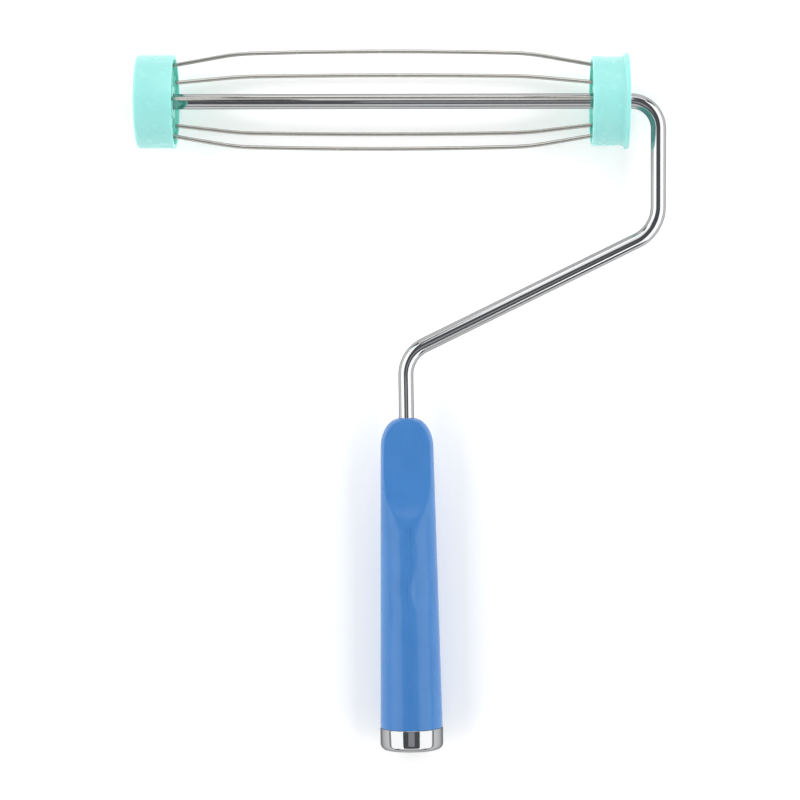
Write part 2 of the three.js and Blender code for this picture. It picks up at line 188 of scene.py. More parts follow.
# %% The ring stack
def ring_stack(name, outline, sides=96, closed=False):
    """A turned piece about the Z axis, from its outline of (radius, height) points."""
    if closed:
        outline = [*outline, outline[0]]
    radius, height = outline[0]
    bpy.ops.mesh.primitive_circle_add(vertices=sides, radius=radius, location=(0, 0, height))
    piece = bpy.context.object
    piece.name = name
    bpy.ops.object.transform_apply(location=True, rotation=True, scale=True)
    edit(piece)
    bpy.ops.mesh.select_mode(type="EDGE")
    if not closed:
        bpy.ops.mesh.edge_face_add()
        pick(piece, "edges", lambda edge: True)
    for (radius, height), (next_radius, next_height) in zip(outline, outline[1:]):
        rise = (0, 0, next_height - height)
        bpy.ops.mesh.extrude_edges_move(TRANSFORM_OT_translate={"value": rise})
        grow = next_radius / radius
        bpy.ops.transform.resize(value=(grow, grow, 1), center_override=(0, 0, next_height))
    if not closed:
        bpy.ops.mesh.edge_face_add()
    return close_shell(piece)


# %% [markdown]
# Many outlines have a rounded corner. Its points come from the sine and cosine at even steps of
# a quarter turn. The flare of the flanged cap, the handle's dome and the ferrule's rolled edge
# use the same numbers, stretched.

# %% Quarter curves
def quarter_turn(steps):
    """The sine and cosine at each step of a quarter turn."""
    angles = [math.pi / 2 * step / steps for step in range(steps + 1)]
    return [(math.sin(angle), math.cos(angle)) for angle in angles]


def quarter_round(radius, height, size):
    """Points of a convex quarter circle, from the end face out to the side."""
    return [
        (radius - size + size * sine, height - size + size * cosine)
        for sine, cosine in quarter_turn(5)
    ]


# %% [markdown]
# ## Bent bars: extrude the straights, spin the bends
#
# The rod and the wires are round bars bent at corners. The section is a circle square to the
# first stretch. It is extruded along each straight and spun about the bend's centre at each
# corner, which is what a bending machine does to the real bar. A bend starts before its corner
# by radius times tan(half the turn).

# %% The bent bar
FEWEST_BEND_STEPS = 6


def bent_bar(name, radius, corners, bends, sides, step=4):
    """A round bar through the corners, each rounded to its bend radius, in steps of degrees."""
    corners = [Vector(corner) for corner in corners]
    heading = (corners[1] - corners[0]).normalized()
    bpy.ops.mesh.primitive_circle_add(
        vertices=sides,
        radius=radius,
        location=corners[0],
        rotation=heading.to_track_quat("Z", "Y").to_euler(),
    )
    bar = bpy.context.object
    bar.name = name
    bpy.ops.object.transform_apply(location=True, rotation=True, scale=True)
    edit(bar)
    bpy.ops.mesh.select_mode(type="EDGE")
    bpy.ops.mesh.edge_face_add()
    pick(bar, "edges", lambda edge: True)
    here = corners[0]
    for corner, after, bend in zip(corners[1:], corners[2:], bends):
        leaving = (after - corner).normalized()
        turn = heading.angle(leaving)
        start = corner - heading * bend * math.tan(turn / 2)
        bpy.ops.mesh.extrude_edges_move(TRANSFORM_OT_translate={"value": start - here})
        pin = heading.cross(leaving).normalized()
        centre = start + pin.cross(heading) * bend
        steps = max(FEWEST_BEND_STEPS, math.ceil(math.degrees(turn) / step))
        bpy.ops.mesh.spin(steps=steps, angle=-turn, center=centre, axis=pin)
        here = corner + leaving * bend * math.tan(turn / 2)
        heading = leaving
    bpy.ops.mesh.extrude_edges_move(TRANSFORM_OT_translate={"value": corners[-1] - here})
    bpy.ops.mesh.edge_face_add()
    return close_shell(bar)


# %% [markdown]
# ## Finishing a piece
#
# A finished piece has its place in its mesh and its object at the origin. It is smoothed, given
# its material and parented to the body that it rides on, and the working solid that it stands
# for is hidden.

# %% Hand a piece to the frame
def settle(piece, place, material, body, stands_for=None, smooth_below=32):
    """Places, smooths and paints a piece, parents it to what it rides on and hides what it stands for."""
    piece.matrix_world = place
    only(piece)
    bpy.ops.object.transform_apply(location=True, rotation=True, scale=True)
    bpy.ops.object.shade_smooth_by_angle(angle=math.radians(smooth_below))
    piece.data.materials.clear()
    piece.data.materials.append(material)
    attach(piece, body)
    if stands_for:
        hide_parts(stands_for)
    size = [round(side / MM, 1) for side in piece.dimensions]
    print(piece.name, "size in mm", size, "faces", len(piece.data.polygons))
    return piece


# %% [markdown]
# ## A small language for materials
#
# A material is a recipe of nodes. Its maths is easier to read as an expression, so a Value
# wraps a socket and its operators add Math nodes. Everything else comes from one method, node,
# which takes a node's type, its settings and the values or links of its sockets.

# %% Values and recipes
class Value:
    """A number that varies over a surface."""

    def __init__(self, recipe, socket):
        self.recipe = recipe
        self.socket = socket

    def maths(self, operation, *numbers):
        inputs = dict(enumerate(numbers))
        return self.recipe.node("ShaderNodeMath", {"operation": operation}, inputs)

    def __add__(self, other):
        return self.maths("ADD", self, other)

    def __radd__(self, other):
        return self.maths("ADD", other, self)

    def __sub__(self, other):
        return self.maths("SUBTRACT", self, other)

    def __rsub__(self, other):
        return self.maths("SUBTRACT", other, self)

    def __mul__(self, other):
        return self.maths("MULTIPLY", self, other)

    def __rmul__(self, other):
        return self.maths("MULTIPLY", other, self)

    def __abs__(self):
        return self.maths("ABSOLUTE", self)


class Recipe:
    """One material under construction."""

    def __init__(self, name, **constants):
        self.material = bpy.data.materials.new(name)
        self.material.use_nodes = True
        self.tree = self.material.node_tree
        self.shader = self.tree.nodes["Principled BSDF"]
        for socket, value in constants.items():
            self.shader.inputs[socket.replace("_", " ")].default_value = value
        self.place = self.node("ShaderNodeTexCoord", {}, {}, "Object")

    def node(self, kind, settings=None, inputs=None, output=0):
        """Adds a node: its settings first, then its sockets. Gives one of its outputs."""
        made = self.tree.nodes.new(kind)
        for name, value in (settings or {}).items():
            if name == "stops":
                self.set_stops(made.color_ramp, value)
            else:
                setattr(made, name, value)
        for name, value in (inputs or {}).items():
            self.feed(made.inputs[name], value)
        return Value(self, made.outputs[output])

    def set_stops(self, ramp, stops):
        """Sets a colour ramp's stops, each a position and a colour."""
        for index, (position, colour) in enumerate(stops):
            stop = ramp.elements[index] if index < 2 else ramp.elements.new(position)
            stop.position = position
            stop.color = colour

    def feed(self, socket, value):
        """Links a Value to a socket, or sets the socket to a plain value."""
        if isinstance(value, Value):
            self.tree.links.new(value.socket, socket)
        else:
            socket.default_value = value

    def set(self, **inputs):
        """Feeds the shader's own sockets."""
        for name, value in inputs.items():
            self.feed(self.shader.inputs[name.replace("_", " ")], value)

    def turned_place(self, matrix):
        """Object coordinates seen in another frame, in metres."""
        back = matrix.inverted()
        settings = {"vector_type": "POINT"}
        inputs = {
            "Vector": self.place,
            "Location": back.to_translation(),
            "Rotation": back.to_euler(),
        }
        return self.node("ShaderNodeMapping", settings, inputs)

    def stretched(self, vector, factors):
        """A coordinate with each of its axes multiplied."""
        settings = {"operation": "MULTIPLY"}
        return self.node("ShaderNodeVectorMath", settings, {0: vector, 1: factors})

    def part_of(self, vector, axis):
        """One coordinate of a vector."""
        return self.node("ShaderNodeSeparateXYZ", {}, {0: vector}, axis)

    def length(self, vector):
        """The length of a vector, in metres."""
        settings = {"operation": "LENGTH"}
        return self.node("ShaderNodeVectorMath", settings, {0: vector}, "Value")

    def share(self, value, start, end):
        """How far a value has gone from start to end, from 0 to 1."""
        inputs = {"Value": value, "From Min": start, "From Max": end}
        return self.node("ShaderNodeMapRange", {"clamp": True}, inputs)

    def cloud(self, vector, size, detail=2.0, roughness=0.5):
        """Smooth noise from 0 to 1, with blotches of about this size in metres."""
        inputs = {"Vector": vector, "Scale": 1 / size, "Detail": detail, "Roughness": roughness}
        return self.node("ShaderNodeTexNoise", {}, inputs, "Fac")

    def ramp(self, value, *stops):
        """A number bent by a ramp of (position, level) stops, smoothly."""
        colours = [(position, (level, level, level, 1)) for position, level in stops]
        return self.node("ShaderNodeValToRGB", {"stops": colours}, {"Fac": value})

    def blend(self, factor, first, second):
        """A colour between two colours."""
        settings = {"data_type": "RGBA"}
        inputs = {"Factor": factor, 6: first, 7: second}
        return self.node("ShaderNodeMix", settings, inputs, 2)

    def bump(self, height, depth):
        """Feeds the shader's normal with a relief of this depth in metres."""
        inputs = {"Height": height, "Distance": depth, "Strength": 1.0}
        self.set(Normal=self.node("ShaderNodeBump", {}, inputs))


def shade(red, green, blue):
    """A colour as the eye names it, from 0 to 255, turned into the shader's linear numbers."""
    levels = [level / 255 for level in (red, green, blue)]
    linear = [l / 12.92 if l <= 0.04045 else ((l + 0.055) / 1.055) ** 2.4 for l in levels]
    return (*linear, 1.0)


# %% [markdown]
# ## Finishes
#
# Bright chrome is the hardest metal to make look real, because it has no look of its own. Its
# colour is close to neutral, its roughness is low but never zero, and faint drawing marks and
# handling haze break the reflection up. The marks are far finer than the rod, so they go into
# roughness and a very shallow bump. Its rim, where the surface turns away, is tinted darker than
# its face: painted shade, standing in for a dark room mirrored at the rim. The wires are drawn,
# not polished, so they have more haze and longer marks.

# %% Chrome
DRAWING_MARK = 0.5 * MM
HAZE_PATCH = 14 * MM
PIT = 0.35 * MM
PLATING_RELIEF = 0.0012 * MM
# Painted shade: the chrome's rim is tinted darker, standing in for a dark room that it would mirror.
PAINTED_DARK_RIM = (0.3, 0.3, 0.3, 1)
PATCH_DARKER = 5


def chrome(name, tone, haze, frame_of_piece=TOOL, stretch=(1, 1, 1)):
    """Bright plating. The stretch is how the marks are drawn out along each axis."""
    recipe = Recipe(name, Metallic=1.0, Specular_Tint=PAINTED_DARK_RIM)
    place = recipe.turned_place(frame_of_piece)
    drawn = recipe.cloud(recipe.stretched(place, stretch), DRAWING_MARK, 3.0, 0.6)
    patches = recipe.cloud(place, HAZE_PATCH)
    pits = recipe.ramp(recipe.cloud(place, PIT), (0.70, 0.0), (0.78, 1.0))
    handled = recipe.ramp(patches, (0.45, 0.0), (0.75, 1.0))
    darker = [level - PATCH_DARKER for level in tone]
    recipe.set(
        Base_Color=recipe.blend(patches, shade(*darker), shade(*tone)),
        Roughness=haze + 0.035 * drawn + 0.05 * handled,
    )
    recipe.bump(0.5 * drawn + 0.5 * pits, PLATING_RELIEF)
    print(name, "haze", haze)
    return recipe.material


rod_chrome = chrome("rod_chrome", (182, 182, 183), 0.05)
wire_chrome = chrome("wire_chrome", (188, 186, 180), 0.22, stretch=(0.15, 1, 1))

# %% [markdown]
# Moulded plastic has three things that a flat colour lacks. Light goes a little way into it, so
# its shaded side glows. Its surface carries faint flow marks from the mould. And its gloss is
# uneven where it has been handled. The caps' plastic is the clearer of the two.
#
# Inside the caps the same plastic looks deeper and greener, because the light there has come
# through it. That tone is painted shade, laid on by place: near the axle, and near the cage's middle.

# %% The painted shade inside a hollow
HOLLOW_EDGE = 0.2 * MM


def painted_shade_in_hollow(recipe, place, radius, middle, reach):
    """1 where a point is near both the X axis and the middle, 0 elsewhere, with a soft edge."""
    from_axis = recipe.length(recipe.stretched(place, (0, 1, 1)))
    beside_axis = recipe.share(from_axis, radius + HOLLOW_EDGE, radius - HOLLOW_EDGE)
    from_middle = abs(recipe.part_of(place, "X") - middle)
    beside_middle = recipe.share(from_middle, reach + HOLLOW_EDGE, reach - HOLLOW_EDGE)
    return beside_axis * beside_middle


# %% Moulded plastics
FLOW_MARK = 9 * MM
MOULD_GRAIN = 0.25 * MM
HANDLING_MARK = 6 * MM
GLOW_DEPTH = 2.5 * MM
GLOW_COLOURS = (0.6, 1.0, 0.95)


def moulded(
    name,
    light,
    dark,
    gloss,
    glow,
    relief,
    frame_of_piece=TOOL,
    flow_stretch=(1, 1, 1),
    ior=1.45,
    hollow=None,
):
    """Moulded plastic that varies between two tones, with flow marks drawn out along an axis.

    The hollow is a (radius, middle, reach, tone) tuple: the tone, a painted shade, that the hollow's mask lays on.
    """
    recipe = Recipe(
        name,
        Subsurface_Weight=glow,
        Subsurface_Radius=GLOW_COLOURS,
        Subsurface_Scale=GLOW_DEPTH,
        IOR=ior,
    )
    place = recipe.turned_place(frame_of_piece)
    streaks = recipe.cloud(recipe.stretched(place, flow_stretch), FLOW_MARK, 3.0, 0.55)
    grain = recipe.cloud(place, MOULD_GRAIN)
    handling = recipe.cloud(place, HANDLING_MARK, 3.0, 0.6)
    colour = recipe.blend(recipe.ramp(streaks, (0.3, 0.0), (0.7, 1.0)), dark, light)
    # Painted shade: the hollow's deeper tone darkens the plastic inside the caps.
    if hollow:
        *where, tone = hollow
        colour = recipe.blend(painted_shade_in_hollow(recipe, place, *where), colour, tone)
    recipe.set(Base_Color=colour, Roughness=gloss + 0.10 * handling + 0.03 * grain)
    recipe.bump(0.75 * streaks + 0.25 * grain, relief)
    print(name, "gloss", gloss, "glow", glow)
    return recipe.material


# %% The colours and the mint plastic
BLUE_LIGHT = shade(68, 125, 187)
BLUE_DARK = shade(62, 119, 181)
MINT_LIGHT = shade(153, 217, 212)
MINT_DARK = shade(151, 215, 210)
# Painted shade: the two deeper mints darken the caps' insides and the wire plates.
MINT_PAINTED_SHADE = shade(124, 211, 196)
MINT_DARKER_PAINTED_SHADE = shade(114, 207, 188)
MINT_RELIEF = 0.006 * MM
MINT = {"gloss": 0.20, "glow": 0.55, "relief": MINT_RELIEF, "flow_stretch": (0.5, 1, 1)}
mint = moulded("mint_plastic", MINT_LIGHT, MINT_DARK, **MINT)

# %% [markdown]
# ## The bent rod
#
# One 7.2 mm bar makes the axle, the crank beside the cage, the slanting arm and the neck. Its
# corners are read from the working rod's box where the box gives them, so it can't drift from
# it: the axle's end and the crank's outside.

# %% Rod sizes
rod_low, rod_high = (TOOL.inverted() @ Vector(corner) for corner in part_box("frame_rod"))
ROD_R = 3.6 * MM
CRANK_X = rod_high.x - ROD_R
AXLE_END_X = rod_low.x
CRANK_CORNER_Y = -60.9 * MM
HANDLE_TOP = Vector((12.9, -149.5, 0)) * MM
HANDLE_LEAN = math.atan2(down_handle.dot(along_axle), -down_handle.dot(up_tool))
handle_line = Vector((math.sin(HANDLE_LEAN), -math.cos(HANDLE_LEAN), 0))
NECK_LENGTH = 30.1 * MM
TANG_DEPTH = 70 * MM
CRANK_BEND, ELBOW_BEND, NECK_BEND = 13 * MM, 17.9 * MM, 15.6 * MM
print("crank at", round(CRANK_X / MM, 2), "handle lean", round(math.degrees(HANDLE_LEAN), 2))

# %% Bend the rod
rod = bent_bar(
    "chrome_rod",
    ROD_R,
    [
        (AXLE_END_X, 0, 0),
        (CRANK_X, 0, 0),
        (CRANK_X, CRANK_CORNER_Y, 0),
        HANDLE_TOP - handle_line * NECK_LENGTH,
        HANDLE_TOP + handle_line * TANG_DEPTH,
    ],
    [CRANK_BEND, ELBOW_BEND, NECK_BEND],
    sides=48,
)

# %% [markdown]
# Two ears are pressed out of the axle beyond the flanged cap, to stop the cage there. They are
# made by cutting two rings into the straight with bisect, and pushing out the faces between
# them that look along Y.

# %% Press the ears
FLANGE_STOP_X = 115.3 * MM
FLANGE_THICKNESS = 2.1 * MM
FLANGED_CAP_WIDTH = 17.3 * MM
FLANGED_RIM_X = FLANGE_STOP_X + FLANGE_THICKNESS - FLANGED_CAP_WIDTH
EAR_DEPTH = 12.6 * MM
EAR_LENGTH = 2.2 * MM
EAR_REACH = 1.9 * MM
SQUARELY = 0.94

ear_start = FLANGED_RIM_X + EAR_DEPTH
ear_end = ear_start + EAR_LENGTH
edit(rod)
for cut_x in (ear_start, ear_end):
    pick(rod, "faces", lambda face: abs(face.calc_center_median().y) < 2 * ROD_R)
    bpy.ops.mesh.bisect(plane_co=(cut_x, 0, 0), plane_no=(1, 0, 0))
for side in (-1, 1):
    pick(
        rod,
        "faces",
        lambda face: ear_start < face.calc_center_median().x < ear_end
        and face.normal.y * side > SQUARELY,
    )
    bpy.ops.mesh.extrude_region_move(
        TRANSFORM_OT_translate={"value": (0, side * EAR_REACH, 0)}
    )
close_shell(rod)
soften(rod, 0.5 * MM, sharper_than=40)
settle(rod, TOOL, rod_chrome, "handle_frame", "frame_rod")

# %% [markdown]
# ## The five sprung wires
#
# Each wire bows outwards by more than the sleeve's bore allows, so the sleeve squeezes it and is
# gripped. The long middle is one very flat arc. At two soft knees it turns towards the caps, and
# inside each cap it ends in a short hook. One wire is bent, and five copies are turned about the
# axle.

# %% Bend a wire
OUTER_FACE_X = -114.3 * MM
OUTER_CAP_WIDTH = 17.9 * MM
OUTER_RIM_X = OUTER_FACE_X + OUTER_CAP_WIDTH
WIRE_COUNT = 5
WIRE_R = 0.95 * MM
WIRE_SEAT_R = 17.5 * MM
KNEE = Vector((68.5, 0, 22.95)) * MM
CREST_CORNER_R = 24.82 * MM
SEAT_DEPTH = 0.4 * MM
HOOK_DEPTH = 5 * MM
HOOK_END_R = 12.5 * MM
KNEE_BEND, SEAT_BEND, HOOK_BEND = 100 * MM, 8 * MM, 1.5 * MM
CREST_BEND = 2200 * MM

middle_x = (OUTER_RIM_X + FLANGED_RIM_X) / 2
half_length = (FLANGED_RIM_X - OUTER_RIM_X) / 2
seat_x = half_length + SEAT_DEPTH
hook_x = half_length + HOOK_DEPTH
right_half = [
    KNEE,
    Vector((seat_x, 0, WIRE_SEAT_R)),
    Vector((hook_x, 0, WIRE_SEAT_R)),
    Vector((hook_x, 0, HOOK_END_R)),
]
left_half = [Vector((-corner.x, 0, corner.z)) for corner in reversed(right_half)]
half_bends = [KNEE_BEND, SEAT_BEND, HOOK_BEND]
wire = bent_bar(
    "cage_wire",
    WIRE_R,
    [*left_half, Vector((0, 0, CREST_CORNER_R)), *right_half],
    [*reversed(half_bends), CREST_BEND, *half_bends],
    sides=20,
    step=3,
)
soften(wire, 0.25 * MM, sharper_than=50, segments=2)

# %% Copy it round the cage
for number in range(WIRE_COUNT):
    copy = wire.copy()
    copy.data = wire.data.copy()
    copy.name = f"sprung_wire_{number + 1}"
    bpy.context.collection.objects.link(copy)
    turned = Matrix.Rotation(2 * math.pi * number / WIRE_COUNT, 4, "X")
    place = TOOL @ Matrix.Translation((middle_x, 0, 0)) @ turned
    settle(copy, place, wire_chrome, "cage", f"cage_wire_{number + 1}")
only(wire)
bpy.ops.object.delete()

# %% [markdown]
# ## The end caps
#
# Both caps are mouldings: a ring that carries the sleeve, a web across it and a hub with the
# bearing bush. They are turned upright, with height 0 at the rim on the cage's side, and then
# laid on the axle facing opposite ways.
#
# The outer cap's end edge is well rounded, so that a sleeve slides over it.

# %% The caps' plastics
# The caps' insides, near the axle and the cage's middle, get a painted shade.
HOLLOW_R = 20.3 * MM
HOLLOW_DEPTH = 7.5 * MM
hollow = (HOLLOW_R, middle_x, half_length + HOLLOW_DEPTH, MINT_PAINTED_SHADE)
mint_cap = moulded("mint_cap_plastic", MINT_LIGHT, MINT_DARK, **MINT, hollow=hollow)
# Painted shade: the wire plates' plastic is a darker mint than the caps'.
plate_mint_painted_shade = moulded(
    "mint_inner_plastic", MINT_PAINTED_SHADE, MINT_DARKER_PAINTED_SHADE, gloss=0.24, glow=0.4, relief=MINT_RELIEF
)

# %% Cap sizes
OUTER_CAP = TOOL @ axes((0, 0, 1), (0, 1, 0), (-1, 0, 0), (OUTER_RIM_X, 0, 0))
FLANGED_CAP = TOOL @ axes((0, 0, 1), (0, -1, 0), (1, 0, 0), (FLANGED_RIM_X, 0, 0))
HUB_R = 7.5 * MM
BUSH_SEAT_R = 5.6 * MM
WEB_IN, WEB_OUT = 6.3 * MM, 8.8 * MM
HUB_IN, HUB_OUT = 0.8 * MM, 10.2 * MM
HUB_LIP_R = 4.1 * MM
HUB_LIP_OUT = HUB_IN + 1 * MM
BORE_DRAFT = 0.2 * MM
CLEARANCE = 0.3 * MM


def inside_of_cap(bore, width):
    """The outline of a cap's inside, from the rim's bore through the hub to the far side."""
    return [
        (bore, 0),
        (bore, WEB_IN),
        (HUB_R, WEB_IN),
        (HUB_R, HUB_IN),
        (HUB_LIP_R, HUB_IN),
        (HUB_LIP_R, HUB_LIP_OUT),
        (BUSH_SEAT_R, HUB_LIP_OUT),
        (BUSH_SEAT_R, HUB_OUT),
        (HUB_R, HUB_OUT),
        (HUB_R, WEB_OUT),
        (bore - BORE_DRAFT, WEB_OUT),
        (bore - BORE_DRAFT, width),
    ]


# %% The outer cap
CAP_R = 22.05 * MM
OUTER_BORE = 20.1 * MM
END_ROUND = 1.6 * MM
SIDE_DRAFT = 0.1 * MM
outer_cap = ring_stack(
    "outer_cap",
    [
        *quarter_round(CAP_R, OUTER_CAP_WIDTH, END_ROUND),
        (CAP_R - SIDE_DRAFT, 0),
        *inside_of_cap(OUTER_BORE, OUTER_CAP_WIDTH),
    ],
    closed=True,
)
soften(outer_cap, 0.25 * MM)
settle(outer_cap, OUTER_CAP, mint_cap, "cage", "outer_end_cap")

# %% [markdown]
# The flanged cap is slightly waisted. Beyond its waist it flares, in a curve, to the lip that
# stops the sleeve. Ribs stiffen its open outer side.

# %% The flanged cap
FLANGED_R = 21.2 * MM
WAIST_R = 20.9 * MM
FLANGE_R = 22.6 * MM
FLANGED_BORE = 19.2 * MM
LIP_IN = FLANGED_CAP_WIDTH - FLANGE_THICKNESS
FLARE_LENGTH = 2.6 * MM
FLARE_RISE = 1.1 * MM
WAIST_DEPTH = 6 * MM
WAIST_DRAFT = 0.08 * MM
RIM_DEPTH, RIM_ROUND = 0.6 * MM, 0.35 * MM
LIP_DRAFT = 0.15 * MM
flare = [
    (WAIST_R + FLARE_RISE * (1 - cosine), LIP_IN - FLARE_LENGTH * (1 - sine))
    for sine, cosine in quarter_turn(6)
]
flanged_cap = ring_stack(
    "flanged_cap",
    [
        (FLANGE_R, FLANGED_CAP_WIDTH),
        (FLANGE_R, LIP_IN + LIP_DRAFT),
        *reversed(flare),
        (WAIST_R + WAIST_DRAFT, WAIST_DEPTH),
        (FLANGED_R, RIM_DEPTH),
        (FLANGED_R - RIM_ROUND, 0),
        *inside_of_cap(FLANGED_BORE, FLANGED_CAP_WIDTH),
    ],
    closed=True,
)
soften(flanged_cap, 0.22 * MM)

# %% [markdown]
# The ribs stand round the hub like spokes, and so do the wires' pockets later on. One helper
# makes both: a cube, stretched to its size out along X, rounded and turned about the axle.

# %% A block round the axle
def spoke_block(radius, length, width, low, high, angle):
    """A block with rounded edges, this far from the axle and at this angle round it."""
    bpy.ops.mesh.primitive_cube_add(size=1, location=(radius, 0, (low + high) / 2))
    block = bpy.context.object
    block.scale = (length, width, high - low)
    bpy.ops.object.transform_apply(location=True, rotation=False, scale=True)
    block.rotation_euler.z = angle
    bpy.ops.object.transform_apply(location=False, rotation=True, scale=False)
    return soften(block, 0.3 * MM, segments=2)


def spoke_angles(first=0.0):
    """The angle of each of the five places round the axle."""
    return [first + 2 * math.pi * number / WIRE_COUNT for number in range(WIRE_COUNT)]


# %% The flanged cap's ribs
RIB_THICKNESS = 1.6 * MM
RIB_SET_BACK = 3 * MM
RIB_LAP = 0.4 * MM
rib_inner, rib_outer = HUB_R - RIB_LAP, FLANGED_BORE + RIB_LAP
rib_low, rib_high = WEB_OUT - RIB_LAP, FLANGED_CAP_WIDTH - RIB_SET_BACK
for angle in spoke_angles(math.pi):
    middle_r, length = (rib_inner + rib_outer) / 2, rib_outer - rib_inner
    rib = spoke_block(middle_r, length, RIB_THICKNESS, rib_low, rib_high, angle)
    combine(flanged_cap, rib)
settle(flanged_cap, FLANGED_CAP, mint_cap, "cage", "flanged_end_cap")

# %% [markdown]
# ## Wire plates
#
# Behind each rim sits a disc that traps the hooked wires. It stands back from the rim, in shade,
# and its plastic is painted darker than the cap's as painted shade. Each wire goes through a
# square pocket with a raised border.

# %% A wire plate
PLATE_IN, PLATE_OUT = 1.2 * MM, 3.4 * MM
PLATE_BORDER = 1.6 * MM
PLATE_STEP = 0.3 * MM
plate_rim = PLATE_IN + 0.7 * MM
plate_field = PLATE_IN + 0.9 * MM
plate_collar = PLATE_IN + 0.5 * MM
POCKET_R = WIRE_SEAT_R - 0.5 * MM
POCKET_BORDER = (4.4 * MM, 5.6 * MM)
POCKET_OPENING = (3.2 * MM, 4.4 * MM)


def wire_plate(name, bore, place, node):
    """A disc with a rim, a collar and a raised square pocket for each wire."""
    disc = ring_stack(
        name,
        [
            (HUB_R + CLEARANCE, PLATE_OUT),
            (bore - CLEARANCE, PLATE_OUT),
            (bore - CLEARANCE, plate_rim),
            (bore - PLATE_BORDER, plate_rim),
            (bore - PLATE_BORDER - PLATE_STEP, plate_field),
            (HUB_R + PLATE_BORDER, plate_field),
            (HUB_R + PLATE_BORDER - PLATE_STEP, plate_collar),
            (HUB_R + CLEARANCE, plate_collar),
        ],
        closed=True,
    )
    soften(disc, 0.15 * MM, segments=2)
    for angle in spoke_angles():
        combine(disc, spoke_block(POCKET_R, *POCKET_BORDER, PLATE_IN, PLATE_OUT, angle))
        opening = spoke_block(POCKET_R, *POCKET_OPENING, 0, 2 * PLATE_OUT, angle)
        combine(disc, opening, "DIFFERENCE")
    settle(disc, place, plate_mint_painted_shade, "cage", node)


wire_plate("outer_plate", OUTER_BORE, OUTER_CAP, "outer_wire_plate")
wire_plate("inner_plate", FLANGED_BORE, FLANGED_CAP, "inner_wire_plate")

# %% [markdown]
# ## End cover, bushes and washer
#
# A disc pressed into the outer cap closes it. Its face has a shallow dish and a moulded ring,
# which hide sink marks on the real part. The bushes are white nylon, and the washer beside the
# ears is zinc-plated steel.

# %% More finishes
white_nylon = moulded(
    "white_nylon",
    shade(236, 234, 226),
    shade(226, 223, 214),
    gloss=0.38,
    glow=0.3,
    relief=0.01 * MM,
)
black_nylon = moulded(
    "black_nylon", shade(46, 48, 52), shade(38, 40, 44), gloss=0.42, glow=0.0, relief=0.02 * MM
)
zinc = chrome("zinc_plate", (176, 180, 184), 0.28)

# %% The end cover
COVER_IN, COVER_OUT = 15.0 * MM, 17.5 * MM
COVER_BORDER = 2.2 * MM
DISH_SLOPE, DISH_EDGE_DEPTH = 0.8 * MM, 0.6 * MM
DISH_MIDDLE_R = 1.0 * MM
COVER_RING_R, COVER_RING_WIDTH, COVER_RING_FLANK = 7.0 * MM, 1.4 * MM, 0.5 * MM
cover_r = OUTER_BORE - 0.5 * MM
dish_r = cover_r - COVER_BORDER
dish_floor = COVER_OUT - 0.8 * MM
ring_top = COVER_OUT - 0.3 * MM
ring_inner = COVER_RING_R - COVER_RING_WIDTH
cover = ring_stack(
    "outer_cover",
    [
        (cover_r, COVER_IN),
        (cover_r, COVER_OUT),
        (dish_r, COVER_OUT),
        (dish_r - DISH_SLOPE, COVER_OUT - DISH_EDGE_DEPTH),
        (COVER_RING_R + COVER_RING_FLANK, dish_floor),
        (COVER_RING_R, ring_top),
        (ring_inner, ring_top),
        (ring_inner - COVER_RING_FLANK, dish_floor),
        (DISH_MIDDLE_R, dish_floor - 0.05 * MM),
    ],
)
soften(cover, 0.25 * MM, sharper_than=20)
settle(cover, OUTER_CAP, mint, "cage", "end_cover")

# %% The bushes
BUSH_R = 5.3 * MM
BUSH_BORE_R = 3.8 * MM
BUSH_FLANGE_R = 6.9 * MM
BUSH_IN = HUB_LIP_OUT + CLEARANCE
BUSH_FLANGE_IN = HUB_OUT + CLEARANCE
BUSH_FLANGE_OUT = BUSH_FLANGE_IN + 1 * MM


def bush(name, place, node):
    """A flanged bush with eased edges."""
    made = ring_stack(
        name,
        [
            (BUSH_BORE_R, BUSH_IN),
            (BUSH_R, BUSH_IN),
            (BUSH_R, BUSH_FLANGE_IN),
            (BUSH_FLANGE_R, BUSH_FLANGE_IN),
            (BUSH_FLANGE_R, BUSH_FLANGE_OUT),
            (BUSH_BORE_R, BUSH_FLANGE_OUT),
        ],
        sides=64,
        closed=True,
    )
    soften(made, 0.2 * MM, segments=2)
    settle(made, place, white_nylon, "cage", node)


bush("outer_bush", OUTER_CAP, "outer_bearing_bush")
bush("inner_bush", FLANGED_CAP, "inner_bearing_bush")

# %% The washer beside the ears
WASHER_R = 6.5 * MM
washer_in = BUSH_FLANGE_OUT + CLEARANCE
washer_out = washer_in + 0.8 * MM
washer_bore = ROD_R + CLEARANCE
washer = ring_stack(
    "inner_washer",
    [
        (washer_bore, washer_in),
        (WASHER_R, washer_in),
        (WASHER_R, washer_out),
        (washer_bore, washer_out),
    ],
    sides=64,
    closed=True,
)
soften(washer, 0.12 * MM, segments=2)
settle(washer, FLANGED_CAP, zinc, "handle_frame", "inner_thrust_washer")

# %% [markdown]
# ## The handle
#
# The handle is one moulding: a domed top, a body that widens steadily towards the ferrule, and
# a thumb rest on its front and back. It stands upright here, with height 0 where the rod goes
# in. The rings are close together, because the thumb rests are then pressed into them point by
# point, as a sculptor would: a point that stands proud of the rest's curve is pulled back to it,
# with a small fillet where the two surfaces meet.

